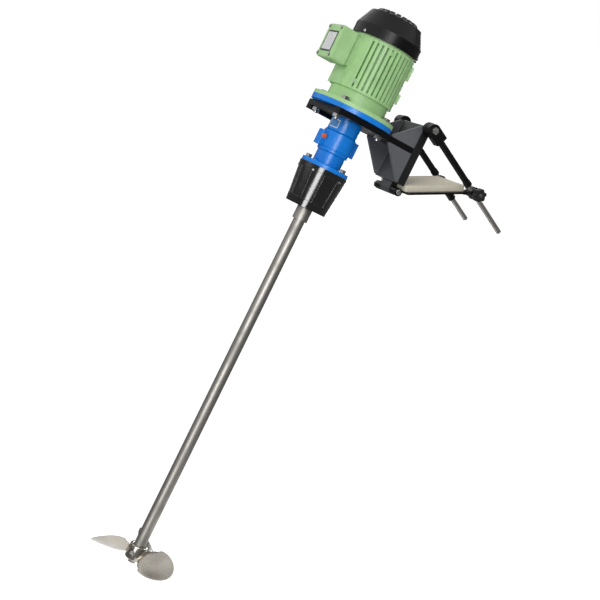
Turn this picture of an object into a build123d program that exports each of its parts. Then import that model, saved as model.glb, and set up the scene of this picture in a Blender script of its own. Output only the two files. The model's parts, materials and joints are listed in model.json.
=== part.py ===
from build123d import *
from math import acos, atan2, cos, degrees, pi, radians, sin, sqrt, tan
import os

os.makedirs("parts", exist_ok=True)

# Portable tank agitator, in millimetres: a flange motor over an in-line planetary gearbox drives a long
# propeller shaft, and the whole drive head tilts on a bracket that is clamped to the rim of a tank.
# +Z is up and the mounting plate lies flat. The origin is the middle of the plate's underside.

# ---- fits -------------------------------------------------------------------------------------------
running_fit = 0.05
side_gap = 0.3
rod_play = 0.7

# ---- mounting plate and tilt hinge ------------------------------------------------------------------
plate_length = 157
plate_width = 162
plate_thickness = 5
pad_thickness = 14
pad_setback = 1.5
hinge_setback = 11
hinge_height = 2
knuckle_radius = 10
middle_knuckle = 48
outer_knuckle = 29
tilt_pin_radius = 5
pin_head = 7
pin_head_radius = 6
pin_nut_flats = 17

# ---- drive head: distances along its own axes, from the joint between motor and gearbox ---------------
tilt = 25
hinge_reach = 172
hinge_drop = 117
flange_radius = 100
flange_bolt_circle = 165
flange_bolt_radius = 5
flange_bolt_flats = 17
flange_bolt_head = 9
flange_nut_height = 8
flange_bolt_tail = 12

# ---- tilting bracket --------------------------------------------------------------------------------
bracket_width = 118
base_thickness = 14
base_left = 74
base_half_width = 84
edge_bar_width = 15
edge_bar_depth = 9
gusset_start = 89
gusset_thickness = 8
upright_near = 155
upright_thickness = 20
upright_top = 47
upright_bottom = 99.5

# ---- struts -----------------------------------------------------------------------------------------
strut_pivot_reach = 166
strut_pivot_rise = 43.5
strut_offset = 80
strut_boss_radius = 16
strut_bolt_radius = 6
strut_bolt_flats = 15
strut_bolt_head = 5
eye_width = 30
eye_thickness = 20
eye_length = 36
tube_radius = 8
tube_clearance = 12
collar_radius = 9.2
collar_length = 12
rod_radius = 6
rod_tail = 127
ear_reach = 18
ear_thickness = 8
ear_radius = 11
sleeve_size = 23
sleeve_half_length = 12
trunnion_radius = 6
guide_radius = 9.5
guide_length = 57
knob_radius = 16
knob_thickness = 16
knob_stand_off = 6
knob_screw_radius = 4

# ---- motor ------------------------------------------------------------------------------------------
motor_flange = 9
spigot_radius = 65
spigot_depth = 3.5
frame_bottom = 38
frame_top = 160
frame_bore = 60
frame_root = 66
fin_radius = 78
fin_root = 69
fin_count = 32
fin_thickness = 7.5
smooth_angle = 41
smooth_radius = 77
frame_rim = 6
side_pad_radius = 84
side_pad_width = 16
box_pad_reach = 76
box_neck_reach = 88
box_neck_width = 66
box_neck_height = 71
box_reach = 120
box_width = 78
box_bottom = 76
box_top = 155
box_wall = 4
lid_thickness = 8
gland_bore = 4.5
stator_bottom = 58
stator_top = 138
stator_bore = 36
air_gap = 0.4
winding_height = 12
shaft_radius = 10
rotor_shaft_radius = 15
motor_bearing_radius = 23.5
motor_bearing_width = 14
rear_shield_radius = 75
rear_shield_height = 10
cover_bottom = 163
cover_radius = 81.5
cover_shoulder = 188
cover_top = 235
cover_wall = 2.2
cover_slots = 20
fan_radius = 62
fan_blades = 8

# ---- gearbox ----------------------------------------------------------------------------------------
module = 1
sun_teeth = 18
planet_teeth = 18
ring_teeth = 54
planets = 3
backlash = 0.07
pressure_angle = 20
gear_face = 19
input_thickness = 11.5
input_tube_radius = 36.5
input_tube_bottom = 57
case_radius = 40
case_bottom = 110
case_bore = 34
neck_radius = 34.5
output_flange_radius = 58
output_flange_top = 137.5
output_flange_bottom = 147
output_bolt_circle = 100
output_bolt_radius = 4
output_bolt_flats = 14
output_bolt_head = 8
output_shaft_radius = 12.5
output_bearing_radius = 26
output_bearing_width = 15
quill_radius = 15
quill_bearing_radius = 27.5
quill_bearing_width = 13
planet_pin_radius = 4

# ---- lantern, coupling and shaft --------------------------------------------------------------------
lantern_top_radius = 60
lantern_bottom_radius = 50
lantern_bottom = 245
lantern_bearing_radius = 31
lantern_bearing_width = 14
panel_count = 10
panel_depth = 1.8
coupling_radius = 17.5
coupling_foot_radius = 18.5
coupling_top = 165
coupling_bottom = 276
agitator_radius = 14
agitator_top = 212

# ---- propeller --------------------------------------------------------------------------------------
hub_radius = 22
hub_top = 1134
hub_height = 36
blade_count = 3
blade_radius = 121
blade_pitch = 230
blade_thickness = 5

# The head's own axes: its Z runs up the drive shaft and its X points from the shaft to the hinge.
head_x = Vector(cos(radians(tilt)), 0, -sin(radians(tilt)))
head_z = Vector(sin(radians(tilt)), 0, cos(radians(tilt)))
hinge = Vector(-plate_length / 2 - hinge_setback, 0, hinge_height)
HEAD = Plane(origin=hinge - head_x * hinge_reach + head_z * hinge_drop, x_dir=head_x, z_dir=head_z)
SECTION = Plane(origin=HEAD.origin, x_dir=head_x, z_dir=(0, -1, 0))
DRIVE_AXIS = Axis(HEAD.origin, head_z)


def on_head(local):
    """A working plane given in the head's own axes."""
    return Plane(HEAD.location * local.location)


def side_plane(x, y, z, facing=1):
    """A plane on the head at (x, y, z) that faces along the hinge direction, +Y or -Y."""
    return on_head(Plane(origin=(x, y, z), x_dir=(-facing, 0, 0), z_dir=(0, facing, 0)))


def radial_plane(angle, radius, z):
    """A plane at a radius and height on the head whose normal points away from the drive axis."""
    outward = (cos(radians(angle)), sin(radians(angle)), 0)
    return on_head(Plane(origin=(radius * outward[0], radius * outward[1], z), z_dir=outward))


def turned(label, *profile):
    """A piece turned about the drive axis, from corners given as radius and height."""
    with BuildPart() as turning:
        with BuildSketch(SECTION):
            with BuildLine():
                Polyline(*profile, close=True)
            make_face()
        revolve(axis=DRIVE_AXIS)
    turning.part.label = label
    return turning.part


def sealed_bearing(bore, outside, width, bottom):
    """Outer ring with its two shields, and inner ring, of a sealed ball bearing."""
    wall = (outside - bore) * 0.27
    shield = 1.2
    outer = turned(
        "outer_ring",
        (outside, bottom), (outside, bottom + width), (bore + wall + side_gap, bottom + width),
        (bore + wall + side_gap, bottom + width - shield), (outside - wall, bottom + width - shield),
        (outside - wall, bottom + shield), (bore + wall + side_gap, bottom + shield),
        (bore + wall + side_gap, bottom),
    )
    inner = turned("inner_ring", (bore, bottom), (bore + wall, bottom), (bore + wall, bottom + width), (bore, bottom + width))
    return outer, inner


def hex_bolts(label, seats, across_flats, head, radius, length):
    """Hexagon bolts, one on each seat plane, with the shank running in behind the seat."""
    with BuildPart() as bolts:
        for seat in seats:
            with BuildSketch(seat):
                RegularPolygon(radius=across_flats / 2, side_count=6, major_radius=False)
            extrude(amount=head)
            with BuildSketch(seat):
                Circle(radius)
            extrude(amount=-length)
    bolts.part.label = label
    export_step(bolts.part, f"parts/{label}.step")


def hex_nuts(label, seats, across_flats, height, bore):
    """Hexagon nuts, one on each seat plane."""
    with BuildPart() as nuts:
        for seat in seats:
            with BuildSketch(seat):
                RegularPolygon(radius=across_flats / 2, side_count=6, major_radius=False)
                Circle(bore, mode=Mode.SUBTRACT)
            extrude(amount=height)
    nuts.part.label = label
    export_step(nuts.part, f"parts/{label}.step")


# ---- mounting plate: flat plate, outer hinge knuckles and two ears ------------------------------------
plate_start = -plate_length / 2
plate_end = plate_length / 2
ear_inside = strut_offset - sleeve_size / 2 - side_gap - ear_thickness
swivel_x = plate_end + ear_reach
outer_knuckle_start = middle_knuckle / 2 + side_gap
outer_knuckle_end = outer_knuckle_start + outer_knuckle

with BuildPart() as mounting_plate:
    with BuildSketch(Plane.XY):
        RectangleRounded(plate_length, plate_width, 4)
        with Locations((hinge.X / 2 + plate_start / 2, -outer_knuckle_start / 2 - outer_knuckle_end / 2)):
            Rectangle(hinge_setback, outer_knuckle)
        with Locations((hinge.X / 2 + plate_start / 2, outer_knuckle_start / 2 + outer_knuckle_end / 2)):
            Rectangle(hinge_setback, outer_knuckle)
        with Locations((plate_start, 0)):
            Rectangle(2 * side_gap, middle_knuckle, mode=Mode.SUBTRACT)
    extrude(amount=plate_thickness)
    for side in (-1, 1):
        knuckle_face = Plane(origin=(hinge.X, side * outer_knuckle_start, hinge_height), z_dir=(0, side, 0))
        with BuildSketch(knuckle_face):
            Circle(knuckle_radius)
        extrude(amount=outer_knuckle)
        with BuildSketch(knuckle_face):
            Circle(tilt_pin_radius)
        extrude(amount=outer_knuckle, mode=Mode.SUBTRACT)
        ear_face = Plane(origin=(swivel_x, side * ear_inside, hinge_height), x_dir=(1, 0, 0), z_dir=(0, side, 0))
        with BuildSketch(ear_face):
            Circle(ear_radius)
            with Locations(((plate_end - swivel_x) / 2, 0)):
                Rectangle(swivel_x - plate_end, 2 * (plate_thickness + 1))
        extrude(amount=ear_thickness)
        with BuildSketch(ear_face):
            Circle(trunnion_radius + running_fit)
        extrude(amount=ear_thickness, mode=Mode.SUBTRACT)
mounting_plate.part.label = "mounting_plate"
export_step(mounting_plate.part, "parts/mounting_plate.step")

pad_width = 2 * (strut_offset - sleeve_size / 2 - pad_setback)
with BuildPart() as mounting_pad:
    with BuildSketch(Plane.XY.offset(plate_thickness)):
        with Locations((pad_setback / 2, 0)):
            RectangleRounded(plate_length - pad_setback, pad_width, 3)
    extrude(amount=pad_thickness)
    chamfer(mounting_pad.faces().sort_by(Axis.Z)[-1].edges(), 0.8)
mounting_pad.part.label = "mounting_pad"
export_step(mounting_pad.part, "parts/mounting_pad.step")

pin_near = Plane(origin=(hinge.X, -outer_knuckle_end, hinge_height), z_dir=(0, -1, 0))
pin_far = Plane(origin=(hinge.X, outer_knuckle_end, hinge_height), z_dir=(0, 1, 0))
with BuildPart() as tilt_pin:
    with BuildSketch(pin_near):
        Circle(pin_head_radius)
    extrude(amount=pin_head / 2)
    chamfer(tilt_pin.faces().sort_by(Axis.Y)[0].edges(), 0.8)
    with BuildSketch(pin_near):
        Circle(tilt_pin_radius)
    extrude(amount=-(2 * outer_knuckle_end + pin_head + 3))
tilt_pin.part.label = "tilt_pin"
export_step(tilt_pin.part, "parts/tilt_pin.step")
hex_nuts("tilt_pin_nut", [pin_far], pin_nut_flats, pin_head, tilt_pin_radius)

# ---- tilting bracket: base plate under the gearbox flange, upright, gussets ---------------------------
base_top = -input_thickness
base_bottom = base_top - base_thickness
half_bracket = bracket_width / 2

with BuildPart() as base_plate:
    with BuildSketch(HEAD.offset(base_bottom)):
        with BuildLine():
            Polyline(
                (-base_left, -base_half_width), (gusset_start - 39, -base_half_width),
                (gusset_start, -half_bracket), (upright_near, -half_bracket),
                (upright_near, half_bracket), (gusset_start, half_bracket),
                (gusset_start - 39, base_half_width), (-base_left, base_half_width), close=True,
            )
        make_face()
        Circle(input_tube_radius + 1.5, mode=Mode.SUBTRACT)
        with PolarLocations(flange_bolt_circle / 2, 4, start_angle=45):
            Circle(flange_bolt_radius + 0.5, mode=Mode.SUBTRACT)
    extrude(amount=base_thickness)
    with BuildSketch(HEAD.offset(base_bottom)):
        with Locations(((gusset_start - 39 - base_left) / 2, base_half_width - edge_bar_width / 2)):
            Rectangle(gusset_start - 39 + base_left, edge_bar_width)
    extrude(amount=-edge_bar_depth)
    chamfer(base_plate.edges().filter_by(DRIVE_AXIS).sort_by(Axis(HEAD.origin, head_x))[:2], 5)
base_plate.part.label = "base_plate"
export_step(base_plate.part, "parts/base_plate.step")

with BuildPart() as pivot_plate:
    with BuildSketch(side_plane(0, half_bracket, 0, -1)):
        with BuildLine():
            Polyline(
                (upright_near, upright_top), (upright_near, -upright_bottom),
                (upright_near + upright_thickness, -upright_bottom),
                (upright_near + upright_thickness, upright_top), close=True,
            )
        make_face()
    extrude(amount=bracket_width)
    with BuildSketch(side_plane(0, middle_knuckle / 2, 0, -1)):
        with Locations((hinge_reach, -hinge_drop)):
            Circle(knuckle_radius)
        with Locations((hinge_reach - 4, -(hinge_drop + upright_bottom) / 2)):
            Rectangle(14, hinge_drop - upright_bottom)
        with Locations((hinge_reach, -hinge_drop)):
            Circle(tilt_pin_radius + running_fit, mode=Mode.SUBTRACT)
    extrude(amount=middle_knuckle)
    chamfer(pivot_plate.edges().filter_by(Axis.Y).sort_by(DRIVE_AXIS)[-2:], 2)
pivot_plate.part.label = "pivot_plate"
export_step(pivot_plate.part, "parts/pivot_plate.step")


def gusset_pair(label, root, tip):
    """Two triangular webs, flush with the bracket's sides, between the base plate and the upright."""
    blunt = 3 if tip > root else -3
    with BuildPart() as gussets:
        for side in (-1, 1):
            with BuildSketch(side_plane(0, side * half_bracket, 0, side)):
                with BuildLine():
                    Polyline(
                        (-side * gusset_start, root), (-side * upright_near, root), (-side * upright_near, tip),
                        (-side * (upright_near - 4), tip), (-side * gusset_start, root + blunt), close=True,
                    )
                make_face()
            extrude(amount=-gusset_thickness)
    gussets.part.label = label
    export_step(gussets.part, f"parts/{label}.step")


gusset_pair("upper_gussets", base_top, upright_top - 2)
gusset_pair("lower_gussets", base_bottom, 2 - upright_bottom)

# ---- strut pivots: a boss each side of the upright, with a shouldered bolt ----------------------------
eye_inside = strut_offset - eye_thickness / 2
eye_outside = strut_offset + eye_thickness / 2
boss_end = eye_inside - side_gap

with BuildPart() as strut_bosses:
    for side in (-1, 1):
        with BuildSketch(side_plane(strut_pivot_reach, side * half_bracket, strut_pivot_rise, side)):
            Circle(strut_boss_radius)
            Circle(strut_bolt_radius, mode=Mode.SUBTRACT)
        extrude(amount=boss_end - half_bracket)
strut_bosses.part.label = "strut_bosses"
export_step(strut_bosses.part, "parts/strut_bosses.step")

bolt_seats = [side_plane(strut_pivot_reach, side * (eye_outside + side_gap), strut_pivot_rise, side) for side in (-1, 1)]
hex_bolts("strut_bolts", bolt_seats, strut_bolt_flats, strut_bolt_head, strut_bolt_radius, eye_outside + side_gap - half_bracket)

# ---- struts: eye block, tube and sliding rod on each side ---------------------------------------------
pivot_point = HEAD.from_local_coords(Vector(strut_pivot_reach, 0, strut_pivot_rise))
swivel_point = Vector(swivel_x, 0, hinge_height)
strut_direction = (swivel_point - pivot_point).normalized()
strut_span = (swivel_point - pivot_point).length
tube_end = strut_span - sleeve_half_length - tube_clearance
rod_end = strut_span + rod_tail


def strut_plane(side, along, origin=pivot_point):
    """A plane square to the strut on one side, at a distance along it from the given point."""
    centre = origin + strut_direction * along + Vector(0, side * strut_offset, 0)
    return Plane(origin=centre, x_dir=(0, 1, 0), z_dir=strut_direction)


def strut_side_plane(side, origin, y):
    """A plane that faces along Y, with its local x running along the strut."""
    return Plane(origin=origin + Vector(0, side * y, 0), x_dir=strut_direction, z_dir=(0, side, 0))


for side, name in ((-1, "near"), (1, "far")):
    with BuildPart() as strut_block:
        with BuildSketch(strut_side_plane(side, pivot_point, eye_inside)):
            Circle(eye_width / 2)
            with Locations((eye_length / 2, 0)):
                Rectangle(eye_length, eye_width)
            Circle(strut_bolt_radius + running_fit, mode=Mode.SUBTRACT)
        extrude(amount=eye_thickness)
        chamfer(strut_block.faces().sort_by(Axis(pivot_point, strut_direction))[-1].edges(), 2)
        with BuildSketch(strut_plane(side, eye_length - 12)):
            Circle(rod_radius)
        extrude(amount=12, mode=Mode.SUBTRACT)
    strut_block.part.label = f"{name}_strut_block"
    export_step(strut_block.part, f"parts/{name}_strut_block.step")

    with BuildPart() as strut_tube:
        with BuildSketch(strut_plane(side, eye_length)):
            Circle(tube_radius)
        extrude(amount=tube_end - eye_length)
        with BuildSketch(strut_plane(side, tube_end - collar_length)):
            Circle(collar_radius)
        extrude(amount=collar_length)
        with BuildSketch(strut_plane(side, eye_length)):
            Circle(rod_radius)
        extrude(amount=tube_end - eye_length, mode=Mode.SUBTRACT)
    strut_tube.part.label = f"{name}_strut_tube"
    export_step(strut_tube.part, f"parts/{name}_strut_tube.step")

    with BuildPart() as strut_rod:
        with BuildSketch(strut_plane(side, eye_length - 12)):
            Circle(rod_radius)
        extrude(amount=rod_end - eye_length + 12)
        chamfer(strut_rod.faces().sort_by(Axis(pivot_point, strut_direction))[-1].edges(), 1)
    strut_rod.part.label = f"{name}_strut_rod"
    export_step(strut_rod.part, f"parts/{name}_strut_rod.step")

# ---- swivel sleeves on the mounting plate's ears: a clamp with a knob, and a long guide ----------------
sleeve_inside = strut_offset - sleeve_size / 2
sleeve_outside = strut_offset + sleeve_size / 2
trunnion_length = ear_thickness + 2 * side_gap + 7

for side, name in ((-1, "clamp"), (1, "guide")):
    with BuildPart() as sleeve:
        with BuildSketch(strut_side_plane(side, swivel_point, sleeve_inside)):
            RectangleRounded(2 * sleeve_half_length, sleeve_size, 3)
        extrude(amount=sleeve_size)
        with BuildSketch(strut_side_plane(side, swivel_point, sleeve_inside)):
            Circle(trunnion_radius)
        extrude(amount=-trunnion_length)
        if name == "guide":
            with BuildSketch(strut_plane(side, 0, swivel_point)):
                Circle(guide_radius)
            extrude(amount=guide_length)
        with BuildSketch(strut_plane(side, -sleeve_half_length, swivel_point)):
            Circle(rod_radius + rod_play)
        extrude(amount=sleeve_half_length + guide_length, mode=Mode.SUBTRACT)
        if name == "clamp":
            with BuildSketch(strut_side_plane(side, swivel_point, strut_offset)):
                Circle(knob_screw_radius + running_fit)
            extrude(amount=sleeve_size, mode=Mode.SUBTRACT)
    sleeve.part.label = f"{name}_sleeve"
    export_step(sleeve.part, f"parts/{name}_sleeve.step")
    nut_seat = strut_side_plane(-side, swivel_point, side_gap - ear_inside)
    hex_nuts(f"{name}_sleeve_nut", [nut_seat], 17, 7, trunnion_radius)

knob_inside = sleeve_outside + knob_stand_off
with BuildPart() as star_knob:
    with BuildSketch(strut_side_plane(-1, swivel_point, knob_inside)):
        Circle(knob_radius * 0.8)
        with PolarLocations(knob_radius * 0.68, 6):
            Circle(knob_radius * 0.32)
    extrude(amount=knob_thickness)
    with BuildSketch(strut_side_plane(-1, swivel_point, sleeve_outside + side_gap)):
        Circle(knob_radius * 0.5)
    extrude(amount=knob_stand_off - side_gap)
    with BuildSketch(strut_side_plane(-1, swivel_point, sleeve_outside)):
        Circle(knob_screw_radius)
    extrude(amount=knob_stand_off + knob_thickness, mode=Mode.SUBTRACT)
star_knob.part.label = "star_knob"
export_step(star_knob.part, "parts/star_knob.step")

screw_tip = strut_offset + rod_radius + rod_play + side_gap
with BuildPart() as knob_screw:
    with BuildSketch(strut_side_plane(-1, swivel_point, screw_tip)):
        Circle(knob_screw_radius)
    extrude(amount=knob_inside + knob_thickness + 1 - screw_tip)
knob_screw.part.label = "knob_screw"
export_step(knob_screw.part, "parts/knob_screw.step")

# ---- motor: front shield with its mounting flange ----------------------------------------------------
bearing_seat = motor_flange - 2
shield = turned(
    "front_shield",
    (shaft_radius + 1, -spigot_depth), (spigot_radius, -spigot_depth), (spigot_radius, 0), (flange_radius, 0),
    (flange_radius, motor_flange), (frame_root + 6, motor_flange), (frame_root + 5, frame_bottom),
    (frame_bore + 2, frame_bottom), (frame_bore, motor_flange + 4), (30, motor_flange + 2),
    (30, bearing_seat + motor_bearing_width), (motor_bearing_radius, bearing_seat + motor_bearing_width),
    (motor_bearing_radius, bearing_seat), (shaft_radius + 1, bearing_seat),
)
with BuildPart() as front_shield:
    add(shield)
    with BuildSketch(HEAD):
        with PolarLocations(flange_bolt_circle / 2, 4, start_angle=45):
            Circle(flange_bolt_radius + 0.5)
    extrude(amount=motor_flange, mode=Mode.SUBTRACT)
front_shield.part.label = "front_shield"
export_step(front_shield.part, "parts/front_shield.step")

# Barrel with cooling fins round its open sides, a smooth skin beside the terminal box, and rims at both ends.
frame_height = frame_top - frame_bottom
smooth_start = radians(180 - smooth_angle)
smooth_end = radians(180 + smooth_angle)
fin_middle = (fin_root + fin_radius) / 2 - 1
with BuildPart() as motor_frame:
    with BuildSketch(HEAD.offset(frame_bottom)):
        Circle(fin_root)
        with BuildLine():
            ThreePointArc(
                (smooth_radius * cos(smooth_start), smooth_radius * sin(smooth_start)), (-smooth_radius, 0),
                (smooth_radius * cos(smooth_end), smooth_radius * sin(smooth_end)),
            )
            Polyline(
                (smooth_radius * cos(smooth_end), smooth_radius * sin(smooth_end)), (0, 0),
                (smooth_radius * cos(smooth_start), smooth_radius * sin(smooth_start)),
            )
        make_face()
        with PolarLocations(fin_middle, fin_count, 180 + smooth_angle, 360 - 2 * smooth_angle, endpoint=True):
            Rectangle(fin_radius - fin_root + 2, fin_thickness)
    extrude(amount=frame_height)
    for rim_bottom in (frame_bottom, frame_top - frame_rim):
        with BuildSketch(HEAD.offset(rim_bottom)):
            Circle(smooth_radius)
        extrude(amount=frame_rim)
    for pad_bottom, pad_top in ((58, 80), (116, 148)):
        with BuildSketch(HEAD.offset(pad_bottom)):
            for angle in (-30, 30):
                with PolarLocations((fin_root + side_pad_radius) / 2 - 1, 1, angle):
                    Rectangle(side_pad_radius - fin_root + 2, side_pad_width)
        extrude(amount=pad_top - pad_bottom)
    with BuildSketch(HEAD.offset(frame_bottom)):
        with Locations((-box_pad_reach + 10, 0)):
            Rectangle(20, box_neck_width)
    extrude(amount=frame_height)
    with BuildSketch(HEAD.offset(frame_bottom)):
        with Locations((-box_pad_reach - 10, 0)):
            Rectangle(20, box_neck_width)
        Circle(frame_bore)
    extrude(amount=frame_height, mode=Mode.SUBTRACT)
motor_frame.part.label = "motor_frame"
export_step(motor_frame.part, "parts/motor_frame.step")

rear_seat = frame_top + 2 - motor_bearing_width
rear = turned(
    "rear_shield",
    (shaft_radius + 1, frame_top + 2), (motor_bearing_radius, frame_top + 2), (motor_bearing_radius, rear_seat),
    (30, rear_seat), (30, frame_top), (rear_shield_radius, frame_top),
    (rear_shield_radius, frame_top + rear_shield_height), (rear_shield_radius - 7, frame_top + rear_shield_height),
    (rear_shield_radius - 11, frame_top + 6), (shaft_radius + 1, frame_top + 8),
)
with BuildPart() as rear_shield:
    add(rear)
    with BuildSketch(HEAD.offset(cover_bottom)):
        with PolarLocations(cover_radius - 4, 3, start_angle=82):
            Rectangle(10, 14)
        Circle(cover_radius - cover_wall, mode=Mode.INTERSECT)
        Circle(rear_shield_radius, mode=Mode.SUBTRACT)
    extrude(amount=frame_top + rear_shield_height - cover_bottom)
rear_shield.part.label = "rear_shield"
export_step(rear_shield.part, "parts/rear_shield.step")

stator_core = turned("stator_core", (stator_bore, stator_bottom), (frame_bore, stator_bottom), (frame_bore, stator_top), (stator_bore, stator_top))
export_step(stator_core, "parts/stator_core.step")

with BuildPart() as stator_windings:
    for start, height in ((stator_bottom, -winding_height), (stator_top, winding_height)):
        with BuildSketch(HEAD.offset(start)):
            Circle(frame_bore - 5)
            Circle(stator_bore + 2, mode=Mode.SUBTRACT)
        extrude(amount=height)
    chamfer(stator_windings.edges().sort_by(DRIVE_AXIS)[:2] + stator_windings.edges().sort_by(DRIVE_AXIS)[-2:], 3)
stator_windings.part.label = "stator_windings"
export_step(stator_windings.part, "parts/stator_windings.step")

# ---- rotor: core, shaft and fan -----------------------------------------------------------------------
rotor_core = turned(
    "rotor_core",
    (rotor_shaft_radius, stator_bottom), (stator_bore - air_gap, stator_bottom),
    (stator_bore - air_gap, stator_top), (rotor_shaft_radius, stator_top),
)
export_step(rotor_core, "parts/rotor_core.step")

shaft_nose = shaft_radius - 0.5
motor_shaft_bottom = -38
fan_bottom = cover_shoulder - 8
fan_shaft_radius = 8
shaft_top = fan_bottom + 24
motor_shaft = turned(
    "motor_shaft",
    (0, motor_shaft_bottom), (shaft_nose, motor_shaft_bottom), (shaft_nose, bearing_seat - 3), (shaft_radius, bearing_seat - 3),
    (shaft_radius, bearing_seat + motor_bearing_width), (rotor_shaft_radius, bearing_seat + motor_bearing_width + 2),
    (rotor_shaft_radius, rear_seat - 2), (shaft_radius, rear_seat), (shaft_radius, fan_bottom - 6),
    (fan_shaft_radius, fan_bottom - 6), (fan_shaft_radius, shaft_top), (0, shaft_top),
)
export_step(motor_shaft, "parts/motor_shaft.step")

with BuildPart() as cooling_fan:
    with BuildSketch(HEAD.offset(fan_bottom)):
        Circle(16)
        Circle(fan_shaft_radius, mode=Mode.SUBTRACT)
    extrude(amount=22)
    with BuildSketch(HEAD.offset(fan_bottom)):
        Circle(fan_radius)
        Circle(15, mode=Mode.SUBTRACT)
    extrude(amount=3)
    with BuildSketch(HEAD.offset(fan_bottom + 3)):
        with PolarLocations((fan_radius + 15) / 2, fan_blades):
            Rectangle(fan_radius - 15, 3)
    extrude(amount=24)
cooling_fan.part.label = "cooling_fan"
export_step(cooling_fan.part, "parts/cooling_fan.step")

# ---- fan cover: straight skirt, tapered body, rounded crown with air slots ----------------------------
crown_radius = cover_radius * 0.59
neck_height = cover_top - 9
neck_width = cover_radius * 0.775
with BuildPart() as fan_cover:
    with BuildSketch(SECTION):
        with BuildLine():
            Polyline((cover_radius - cover_wall, cover_bottom), (cover_radius, cover_bottom), (cover_radius, cover_shoulder), (neck_width, neck_height))
            SagittaArc((neck_width, neck_height), (crown_radius, cover_top), 2)
            Polyline((crown_radius, cover_top), (0, cover_top), (0, cover_top - cover_wall), (crown_radius - 1, cover_top - cover_wall))
            SagittaArc((crown_radius - 1, cover_top - cover_wall), (neck_width - cover_wall, neck_height - 1), -2)
            Polyline((neck_width - cover_wall, neck_height - 1), (cover_radius - cover_wall, cover_shoulder - 1), (cover_radius - cover_wall, cover_bottom))
        make_face()
    revolve(axis=DRIVE_AXIS)
    with BuildSketch(HEAD.offset(neck_height)):
        with PolarLocations((neck_width + 17) / 2, cover_slots):
            Rectangle(neck_width - 19, 4.5)
    extrude(amount=2 * (cover_top - neck_height), mode=Mode.SUBTRACT)
fan_cover.part.label = "fan_cover"
export_step(fan_cover.part, "parts/fan_cover.step")

# ---- terminal box on the frame's pad: neck, wider body, lid, screws and cable gland --------------------
box_height = box_top - box_bottom
box_middle = (box_top + box_bottom) / 2
screw_inset = 7


def box_plane(reach):
    """A plane across the terminal box that faces away from the motor."""
    return on_head(Plane(origin=(-reach, 0, box_middle), x_dir=(0, 1, 0), z_dir=(-1, 0, 0)))


with BuildPart() as terminal_box:
    with BuildSketch(box_plane(box_pad_reach)):
        RectangleRounded(box_neck_width, box_neck_height, 5)
    extrude(amount=box_neck_reach - box_pad_reach)
    with BuildSketch(box_plane(box_neck_reach)):
        RectangleRounded(box_width, box_height, 6)
    extrude(amount=box_reach - box_neck_reach)
    with BuildSketch(box_plane(box_pad_reach + box_wall)):
        RectangleRounded(box_neck_width - 2 * box_wall, box_neck_height - 2 * box_wall, 3)
    extrude(amount=box_neck_reach - box_pad_reach, mode=Mode.SUBTRACT)
    with BuildSketch(box_plane(box_neck_reach + box_wall)):
        RectangleRounded(box_width - 2 * box_wall, box_height - 2 * box_wall, 3)
    extrude(amount=box_reach - box_neck_reach, mode=Mode.SUBTRACT)
    with BuildSketch(side_plane(-(box_neck_reach + box_reach) / 2, box_width / 2 - 2 * box_wall, box_middle)):
        Circle(8)
    extrude(amount=3 * box_wall, mode=Mode.SUBTRACT)
    with BuildSketch(box_plane(box_neck_reach + box_wall - 1)):
        with GridLocations(box_width - 2 * screw_inset, box_height - 2 * screw_inset, 2, 2):
            Circle(4.5)
    extrude(amount=box_reach - box_neck_reach - box_wall + 1)
    with BuildSketch(box_plane(box_reach)):
        with GridLocations(box_width - 2 * screw_inset, box_height - 2 * screw_inset, 2, 2):
            Circle(2)
    extrude(amount=-20, mode=Mode.SUBTRACT)
terminal_box.part.label = "terminal_box"
export_step(terminal_box.part, "parts/terminal_box.step")

with BuildPart() as terminal_lid:
    with BuildSketch(box_plane(box_reach)):
        RectangleRounded(box_width, box_height, 6)
        with GridLocations(box_width - 2 * screw_inset, box_height - 2 * screw_inset, 2, 2):
            Circle(2, mode=Mode.SUBTRACT)
    extrude(amount=lid_thickness)
    chamfer(terminal_lid.faces().sort_by(Axis(HEAD.origin, head_x))[0].outer_wire().edges(), 2)
terminal_lid.part.label = "terminal_lid"
export_step(terminal_lid.part, "parts/terminal_lid.step")

lid_seats = [
    on_head(Plane(origin=(-box_reach - lid_thickness, y, z), x_dir=(0, 1, 0), z_dir=(-1, 0, 0)))
    for y in (screw_inset - box_width / 2, box_width / 2 - screw_inset)
    for z in (box_bottom + screw_inset, box_top - screw_inset)
]
hex_bolts("terminal_lid_screws", lid_seats, 7, 2.5, 2, lid_thickness + 20)

with BuildPart() as cable_gland:
    gland_x = -(box_neck_reach + box_reach) / 2
    with BuildSketch(side_plane(gland_x, box_width / 2, box_middle)):
        RegularPolygon(radius=11, side_count=6, major_radius=False)
    extrude(amount=8)
    with BuildSketch(side_plane(gland_x, box_width / 2, box_middle)):
        Circle(9.5)
    extrude(amount=20)
    with BuildSketch(side_plane(gland_x, box_width / 2 - box_wall - 3, box_middle)):
        Circle(8)
    extrude(amount=box_wall + 3)
    with BuildSketch(side_plane(gland_x, box_width / 2 - box_wall - 3, box_middle)):
        Circle(gland_bore)
    extrude(amount=30, mode=Mode.SUBTRACT)
cable_gland.part.label = "cable_gland"
export_step(cable_gland.part, "parts/cable_gland.step")

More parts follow.
